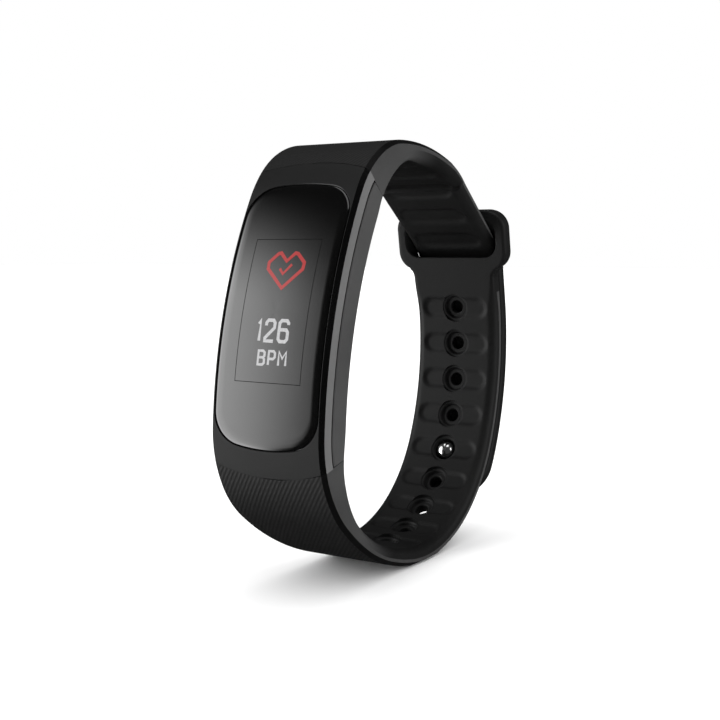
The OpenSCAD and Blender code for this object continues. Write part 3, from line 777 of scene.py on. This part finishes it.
def lens_outline(inset):
    """The lens seen square on, as pairs: its own (s, x), and the bezel's edge beside it as (s, x, on a side)."""
    cw, c1 = LENS_W - CORNER_R, ARCH_R - LENS_L
    cl = math.sqrt((ARCH_R - CORNER_R) ** 2 - cw * cw) - c1
    a0 = math.asin(cw / (ARCH_R - CORNER_R))
    edge = HOUSING_W / 2 - BEVEL

    def end(x):
        return SEAM_S - SEAM_GAP - seam_back(x)

    quarter = []
    for k in range(24):
        s = cl * k / 24
        quarter.append(((s, LENS_W - inset), (s, edge, True)))
    for k in range(16):
        v = k / 16
        t = math.pi / 2 + (a0 - math.pi / 2) * v
        inner = (cl + (CORNER_R - inset) * math.cos(t), cw + (CORNER_R - inset) * math.sin(t))
        if v < 0.5:
            outer = (cl + (end(edge) - cl) * v / 0.5, edge, True)
        else:
            x = edge + (RIM_END_X - edge) * (v - 0.5) / 0.5
            outer = (end(x), x, v == 0.5)
        quarter.append((inner, outer))
    for k in range(13):
        t = a0 * (1 - k / 12)
        x = RIM_END_X * (1 - k / 12)
        inner = ((ARCH_R - inset) * math.cos(t) - c1, (ARCH_R - inset) * math.sin(t))
        quarter.append((inner, (end(x), x, False)))

    def mirrored(pairs, fs, fx):
        return [((fs * i[0], fx * i[1]), (fs * o[0], fx * o[1], o[2])) for i, o in pairs]

    back = quarter[::-1]
    return quarter + mirrored(back, 1, -1)[1:] + mirrored(quarter, -1, -1)[1:] + mirrored(back, -1, 1)[1:-1]


def front_shell():
    """The bezel, from the wall of the lens's seat across the face and down its bevelled rim."""
    wide = lens_outline(-0.16)
    rows = [[face_point(s, x, d) for (s, x), _ in lens_outline(-0.05)] for d in (1.3, 0.1)]
    for f in np.linspace(0, 1, 9):
        rows.append([face_point(i[0] + (o[0] - i[0]) * f, i[1] + (o[1] - i[1]) * f, 0.0) for i, o in wide])
    rim = len(rows) - 1
    strip_x, tuck = BEVEL - 0.25, BEVEL - 1.6
    for past_s, past_x, end_d, side_d in [(0.04, BEVEL, 0.06, BEVEL), (0.04, BEVEL, 2.3, 2.3),
                                          (0, strip_x, 2.46, 2.46), (0, tuck, 2.46, 2.46)]:
        row = []
        for _, (s, x, on_side) in wide:
            if on_side:
                row.append(face_point(s, x + (past_x if x > 0 else -past_x), side_d))
            else:
                row.append(face_point(s + (past_s if s > 0 else -past_s), x, end_d))
        rows.append(row)
    on_side = [o[2] for _, o in wide]
    both = [a and b for a, b in zip(on_side, on_side[1:] + on_side[:1])]
    # The edge slot is painted shade, on the lens seat's wall and the dark bevel.
    # The strip slot is painted light on the bevel's side strip.
    face, edge, strip = range(3)
    mats = []
    for i in range(len(rows) - 1):
        if i < 2:
            mats += [edge] * len(wide)
        elif i < rim:
            mats += [face] * len(wide)
        else:
            mats += [(edge if i == rim else strip) if side else face for side in both]
    ob = add_mesh("front_shell", flat(rows), loft(rows), [SHELL_FRONT, SHELL_PAINTED_SHADE, SHELL_PAINTED_LIGHT_STRIP], mats)
    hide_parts("front_housing")
    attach(ob, "tracker")


def lens():
    rim = [(0.05, 0.9), (0.0, 0.35), (0.02, 0.2), (0.1, 0.1), (0.28, 0.04), (0.6, 0.012), (1.1, 0.0)]
    rows = [[face_point(s, x, d) for (s, x), _ in lens_outline(inset)] for inset, d in rim]
    core = [i for i, _ in lens_outline(rim[-1][0])]
    steps = 26
    for k in range(1, steps):
        f = 1 - k / steps
        rows.append([face_point(s * f, x * f, 0.0) for s, x in core])
    m = len(core)
    verts = flat(rows) + [face_point(0, 0, 0)]
    last = (len(rows) - 1) * m
    fan = [(last + j, last + (j + 1) % m, len(verts) - 1) for j in range(m)]
    ob = add_mesh("lens", verts, loft(rows) + fan, [GLASS])
    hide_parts("cover_lens")
    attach(ob, "tracker")


def rear_section(t):
    """The (across, depth) points round the rear shell's section, t deep."""
    hw, r, top = HOUSING_W / 2, 0.45, 2.74
    roof = [(x, top + 0.12) for x in np.linspace(-(hw - 0.5), hw - 0.5, 9)]
    side = [(hw - 0.12, top), (hw, top + 0.16), (hw, t - r)]
    side += [(hw - r * (1 - math.cos(a)), t - r + r * math.sin(a)) for a in np.linspace(0.3, math.pi / 2, 6)]
    floor = [(x, t) for x in np.linspace(hw - r, r - hw, 25)[1:-1]]
    return roof + side + floor + [(-x, d) for x, d in reversed(side)]


def rear_shell():
    rows = []
    for s in np.linspace(-SEAM_S, SEAM_S, 84):
        bend = math.copysign(smooth(SEAM_REACH, SEAM_S, abs(s)), s)
        row = []
        for x, d in rear_section(wall(*ring(s))):
            q, g = ring(s - (seam_back(x) + SEAM_GAP) * bend)
            row.append(side_point(q, g, min(d, wall(q, g)) if d > 4 else d, x))
        rows.append(row)
    verts, faces = capped(rows)
    ob = add_mesh("rear_shell", verts, faces, [SHELL_REAR_PAINTED_LIGHT])
    verts, faces = screen_plate(12, 7.8, 2.6,
                                [(5.6, 0), (7.0, 0), (7.25, 0.05), (7.7, 0.55), (7.95, 0.85), (8.0, 1.1)])
    combine(ob, "UNION", [add_mesh("sensor_mound", verts, faces, [SHELL_REAR_PAINTED_LIGHT])])
    shapes = {"window_hole": [screen_lathe([(3.9, 7.3), (3.9, 7.88), (4.02, 8.0), (4.1, 9.5)], 0, 0)],
              "contact_hole": [screen_lathe([(0.98, 7.0), (0.98, 7.9), (1.08, 8.0), (1.15, 9.5)], 6.9, z, 32)
                               for z in (-2.3, 2.3)],
              "screw_hole": [],
              "motor_pocket": [screen_block(14.8, 1.7, 7.7, [(2, 0), (6.95, 0)])]}
    for i, h in ((LOW_CORNER, TURN[LOW_CORNER] + 7), (TOP_CORNER, TURN[SCREEN_TOP] - 7)):
        for z in (-5, 5):
            verts, faces = lathe([(1.2, 5.55), (1.2, 12)], 32)
            shapes["screw_hole"].append((placed(verts, C[i] + R[i] * out(h), h, z), faces))
    # The cut walls take the darker edge material: painted shade inside the window, the contact and screw holes,
    # and the motor pocket.
    combine(ob, "DIFFERENCE", [add_mesh(name, verts, faces, [SHELL_PAINTED_SHADE])
                               for name, solids in shapes.items() for verts, faces in solids])
    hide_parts("rear_housing")
    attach(ob, "tracker")


def sensor():
    """The window over the heart-rate sensor: a shallow dome with two lit spots and a dark square between."""
    r, foot, rise = 3.8, 7.9, 0.1
    profile = [(r, 7.35), (r, foot)]
    profile += [(3.78 * math.cos(a), foot + rise * math.sin(a))
                for a in np.linspace(0.1, math.pi / 2 - 0.03, 10)]
    verts, faces = screen_lathe(profile, 0, 0, 64)
    ob = add_mesh("sensor_lens", verts, faces, [SENSOR])
    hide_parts("sensor_window")
    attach(ob, "tracker")
    green = lit("sensor_green", (0.02, 0.22, 0.05), 0.6)
    diode = moulded("sensor_diode", 0.01, 0.03, (0.2, 0.3), 4000, 0.000002, 0.5)
    spots = [(-2.2, 0.45, 0.8, green), (2.2, 0.45, 0.8, green), (0, 0.85, 0.85, diode)]
    for n, (x, half_l, half_w, mat) in enumerate(spots):
        top = foot + rise * math.sqrt(1 - (x / r) ** 2) + 0.012
        verts, faces = screen_block(x, half_l, half_w, [(7.7, 0), (top - 0.01, 0), (top, 0.05)])
        spot = add_mesh("sensor_spot_%d" % n, verts, faces, [mat])
        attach(spot, "tracker")


# ---- What the display shows ----

def strokes(name, lines, width, material, lift=0.014):
    """Ribbons on the lens along broken lines of (x, s) points, with mitred corners."""
    verts, faces = [], []
    for line in lines:
        closed = line[0] == line[-1]
        pts = [np.array(p, float) for p in (line[:-1] if closed else line)]
        n = len(pts)
        left, right = [], []
        for i in range(n):
            a = pts[i] - pts[i - 1] if i > 0 or closed else pts[1] - pts[0]
            b = pts[(i + 1) % n] - pts[i] if i < n - 1 or closed else pts[-1] - pts[-2]
            a, b = a / np.linalg.norm(a), b / np.linalg.norm(b)
            na, nb = np.array([-a[1], a[0]]), np.array([-b[1], b[0]])
            mid = na + nb
            mid = mid / np.linalg.norm(mid)
            k = width / 2 / max(0.8, mid @ na)
            left.append(pts[i] + mid * k)
            right.append(pts[i] - mid * k)
        for i in range(n if closed else n - 1):
            j = (i + 1) % n
            cuts = max(1, int(np.linalg.norm(pts[j] - pts[i]) / 0.8))
            start = len(verts)
            for c in range(cuts + 1):
                across = [edge[i] + (edge[j] - edge[i]) * (c / cuts) for edge in (left, right)]
                verts += [face_point(s, x, d) for d in (-lift, 0.05) for x, s in across]
            for c in range(cuts):
                o = start + 4 * c
                faces += [(o, o + 1, o + 5, o + 4), (o + 1, o + 3, o + 7, o + 5),
                          (o + 3, o + 2, o + 6, o + 7), (o + 2, o, o + 4, o + 6)]
            o = start + 4 * cuts
            faces += [(start, start + 2, start + 3, start + 1), (o, o + 1, o + 3, o + 2)]
    ob = add_mesh(name, verts, faces, [material])
    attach(ob, "tracker")


# Each character is a list of lines, in units of the box it is set in.
GLYPHS = {
    "1": [[(0.05, 0.2), (0.5, 0.0), (0.5, 1.0)]],
    "2": [[(0, 0.26), (0, 0.12), (0.2, 0), (0.8, 0), (1, 0.12), (1, 0.36), (0, 0.86), (0, 1), (1, 1)]],
    "6": [[(1, 0.2), (1, 0.12), (0.8, 0), (0.2, 0), (0, 0.12), (0, 0.88), (0.2, 1), (0.8, 1), (1, 0.88),
           (1, 0.56), (0.8, 0.44), (0, 0.44)]],
    "B": [[(0, 0.48), (0, 0), (0.75, 0), (1, 0.12), (1, 0.36), (0.8, 0.48), (0, 0.48)],
          [(0, 0.48), (0.8, 0.48), (1, 0.62), (1, 0.88), (0.75, 1), (0, 1), (0, 0.48)]],
    "P": [[(0, 1), (0, 0), (0.75, 0), (1, 0.14), (1, 0.42), (0.75, 0.56), (0, 0.56)]],
    "M": [[(0, 1), (0, 0), (0.5, 0.5), (1, 0), (1, 1)]],
}


def display():
    figures = [("1", -2.5, -1.85), ("2", -1.15, 0.35), ("6", 1.2, 2.75)]
    letters = [("B", -1.95, -0.85), ("P", -0.1, 1.0), ("M", 1.7, 2.95)]
    for row, s0, s1, width in ((figures, 1.3, 4.35, 0.5), (letters, 5.8, 7.8, 0.38)):
        for ch, x0, x1 in row:
            lines = [[(x0 + (x1 - x0) * px, s0 + (s1 - s0) * py) for px, py in line] for line in GLYPHS[ch]]
            strokes("figure_" + ch.lower(), lines, width, WHITE)
    heart = [(0.45, -3.5), (-2.6, -6.4), (-2.65, -7.4), (-1.25, -8.75), (-0.8, -8.85), (0.45, -7.6),
             (1.75, -8.85), (2.2, -8.75), (3.6, -7.4), (3.55, -6.4), (0.45, -3.5)]
    strokes("heart_outline", [heart], 0.54, RED)
    strokes("heart_tick", [[(-0.5, -6.45), (0.2, -5.65), (1.5, -7.1)]], 0.42, RED)
    w, low, high = 5.8, -11.0, 10.4
    strokes("display_frame", [[(-w, low), (w, low), (w, high), (-w, high), (-w, low)]], 0.11, LINE, 0.006)


# ---- Clasp ----

def clasp():
    """The stud's round head in its hole, on a neck through the tail, and its flat button outside."""
    p, h = ring(STUD_S)
    low = -CLEAR - TAIL_T
    neck_r, head_r, head_d, cap_r = 0.9, 1.7, 1.35, 2.72
    profile = [(neck_r, low + 0.5), (neck_r, 0.28)]
    profile += [(head_r * math.cos(a), head_d + head_r * math.sin(a))
                for a in np.linspace(-0.68, math.pi / 2 - 0.02, 22)]
    verts, faces = lathe(profile, 64)
    ob = add_mesh("stud_ball", placed(verts, p, h), faces, [CHROME])
    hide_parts("clasp_stud")
    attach(ob, "tail")
    profile = [(2.9, low + 0.58), (2.9, low + 0.1), (2.86, low - 0.02), (cap_r, low - 0.1)]
    profile += [(r, low - 0.1 - 0.05 * math.cos(r / cap_r * math.pi / 2)) for r in np.linspace(2.5, 0.1, 9)]
    verts, faces = lathe(profile, 64)
    ob = add_mesh("stud_cap", placed(verts, p, h), faces, [GUNMETAL])
    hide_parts("stud_button")
    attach(ob, "tail")


lower_band()
upper_band()
front_shell()
lens()
rear_shell()
sensor()
display()
clasp()


# ---- The CAD pieces that stay ----

STUFF = {
    "housing_gasket": moulded("gasket", 0.002, 0.005, (0.6, 0.7), 3000, 0.00001, 0.2),
    "charging_contacts": metal("contact_gold", (0.62, 0.42, 0.14), (0.76, 0.56, 0.24), (0.16, 0.26)),
    "housing_screws": metal("screw_steel", 0.3, 0.4, (0.25, 0.35)),
    "battery": metal("battery_foil", 0.5, 0.62, (0.3, 0.45), 700),
    "motor_case": metal("motor_steel", 0.45, 0.55, (0.2, 0.32)),
    "motor_shaft": metal("shaft_steel", 0.5, 0.6, (0.15, 0.25)),
    "motor_weight": metal("weight_steel", 0.22, 0.3, (0.35, 0.45)),
    "lower_anchor_plate": metal("plate_low", 0.5, 0.6, (0.3, 0.42)),
    "upper_anchor_plate": metal("plate_top", 0.5, 0.6, (0.3, 0.42)),
    "touch_pad": metal("copper_foil", (0.6, 0.3, 0.16), (0.7, 0.38, 0.2), (0.3, 0.4)),
    "main_board": moulded("board_mask", (0.008, 0.06, 0.025), (0.014, 0.09, 0.04), (0.35, 0.5), 1800),
    "display_flex": moulded("flex_film", (0.3, 0.12, 0.02), (0.4, 0.18, 0.04), (0.3, 0.4), 1500),
    "antenna": moulded("antenna_ceramic", 0.5, 0.6, (0.4, 0.5), 1500),
    "heart_rate_leds": moulded("led_resin", (0.2, 0.6, 0.25), (0.3, 0.75, 0.35), (0.15, 0.25), 900),
    "photodiode": moulded("diode_resin", 0.01, 0.025, (0.15, 0.25), 900),
    "battery_leads": moulded("lead_sleeve", (0.4, 0.01, 0.008), (0.5, 0.02, 0.015), (0.4, 0.5), 1500),
    "display_panel": moulded("panel_glass", 0.003, 0.006, (0.1, 0.18), 900),
    "lens_adhesive": moulded("adhesive", 0.004, 0.008, (0.6, 0.7), 2000),
}
CHIP = moulded("chip_body", 0.008, 0.014, (0.45, 0.6), 2500)
for node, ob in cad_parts.items():
    ob.data.materials.clear()
    ob.data.materials.append(STUFF.get(node, CHIP))


# ---- Floor, light and camera. Lengths from here on are in metres. ----

def backdrop():
    """A plain pale floor, a hair below the band."""
    m, nt, bsdf = new_material("paper")
    nt.links.new(ramp(nt, noise(nt, 30), [(0.3, 0.93), (0.7, 0.95)]), bsdf.inputs["Base Color"])
    bsdf.inputs["Roughness"].default_value = 0.9
    bsdf.inputs["Specular IOR Level"].default_value = 0.1
    me = bpy.data.meshes.new("floor")
    k, z = 3.0, -0.0002
    me.from_pydata([(-k, -k, z), (k, -k, z), (k, k, z), (-k, k, z)], [], [(0, 1, 2, 3)])
    me.materials.append(m)
    floor = bpy.data.objects.new("floor", me)
    bpy.context.scene.collection.objects.link(floor)
    floor.visible_glossy = False
    return floor


def add_lamp(name, lamp, place, target, paper, state):
    """A lamp that lights only the paper, or everything but the paper."""
    ob = bpy.data.objects.new(name, lamp)
    ob.location = place
    ob.rotation_euler = (Vector(target) - Vector(place)).to_track_quat("-Z", "Y").to_euler()
    ob.visible_camera = False
    bpy.context.scene.collection.objects.link(ob)
    lit_by = bpy.data.collections.new(name + "_lights")
    lit_by.objects.link(paper)
    lit_by.collection_objects[0].light_linking.link_state = state
    ob.light_linking.receiver_collection = lit_by


def object_light(name, place, size, power, paper):
    """A square soft lamp turned to the band, which leaves the paper dark."""
    lamp = bpy.data.lights.new(name, "AREA")
    lamp.shape, lamp.size, lamp.size_y = "RECTANGLE", size, size
    lamp.energy = power
    add_lamp(name, lamp, place, CENTRE, paper, "EXCLUDE")


def paper_light(paper):
    """Even light on the paper alone, wide enough to leave only a soft shadow under the loop."""
    lamp = bpy.data.lights.new("over_paper", "SUN")
    lamp.angle, lamp.energy = math.radians(168), 4.2
    add_lamp("over_paper", lamp, (0, 0, 0.6), (0, 0, 0), paper, "INCLUDE")


def studio():
    """Soft light all round, with one large soft card low on the left of the screen. The camera sees white."""
    world = bpy.data.worlds.new("studio")
    world.use_nodes = True
    nt = world.node_tree
    nt.nodes.clear()
    coord = nt.nodes.new("ShaderNodeTexCoord")
    way = split_vector(nt, coord.outputs["Generated"])
    sideways = fade(nt, way["X"], -0.53, -0.645)
    low = fade(nt, way["Z"], 0.73, 0.38)
    front = fade(nt, way["Y"], -0.1, -0.4)
    card = math_node(nt, "MULTIPLY", math_node(nt, "MULTIPLY", sideways, low), front)
    card_strength, all_round = 4.8, 0.045
    soft, white = nt.nodes.new("ShaderNodeBackground"), nt.nodes.new("ShaderNodeBackground")
    nt.links.new(math_node(nt, "MULTIPLY_ADD", card, card_strength, all_round), soft.inputs["Strength"])
    path, mix, end = (nt.nodes.new("ShaderNode" + k) for k in ("LightPath", "MixShader", "OutputWorld"))
    nt.links.new(path.outputs["Is Camera Ray"], mix.inputs[0])
    nt.links.new(soft.outputs[0], mix.inputs[1])
    nt.links.new(white.outputs[0], mix.inputs[2])
    nt.links.new(mix.outputs[0], end.inputs["Surface"])
    for node in (soft, white):
        node.inputs["Color"].default_value = (1, 1, 1, 1)
    white.inputs["Strength"].default_value = 1.0
    bpy.context.scene.world = world
    bpy.context.scene.view_settings.view_transform = "Standard"


def camera(distance):
    cam = bpy.data.cameras.new("camera")
    cam.lens, cam.sensor_width, cam.clip_start, cam.clip_end = 56.75, 36, 0.01, 20
    ob = bpy.data.objects.new("camera", cam)
    back = Vector((0.5275, -0.8442, 0.0954)).normalized()
    ob.location = Vector(CENTRE) + distance * back
    ob.rotation_euler = (-back).to_track_quat("-Z", "Y").to_euler()
    bpy.context.scene.collection.objects.link(ob)
    bpy.context.scene.camera = ob


CENTRE = (0, -0.00648, 0.03374)
paper = backdrop()
studio()
paper_light(paper)
object_light("key_top", (0.02, -0.05, 0.55), 0.45, 1.0, paper)
object_light("side", (0.5, 0.12, 0.16), 0.35, 0.95, paper)
camera(0.184)
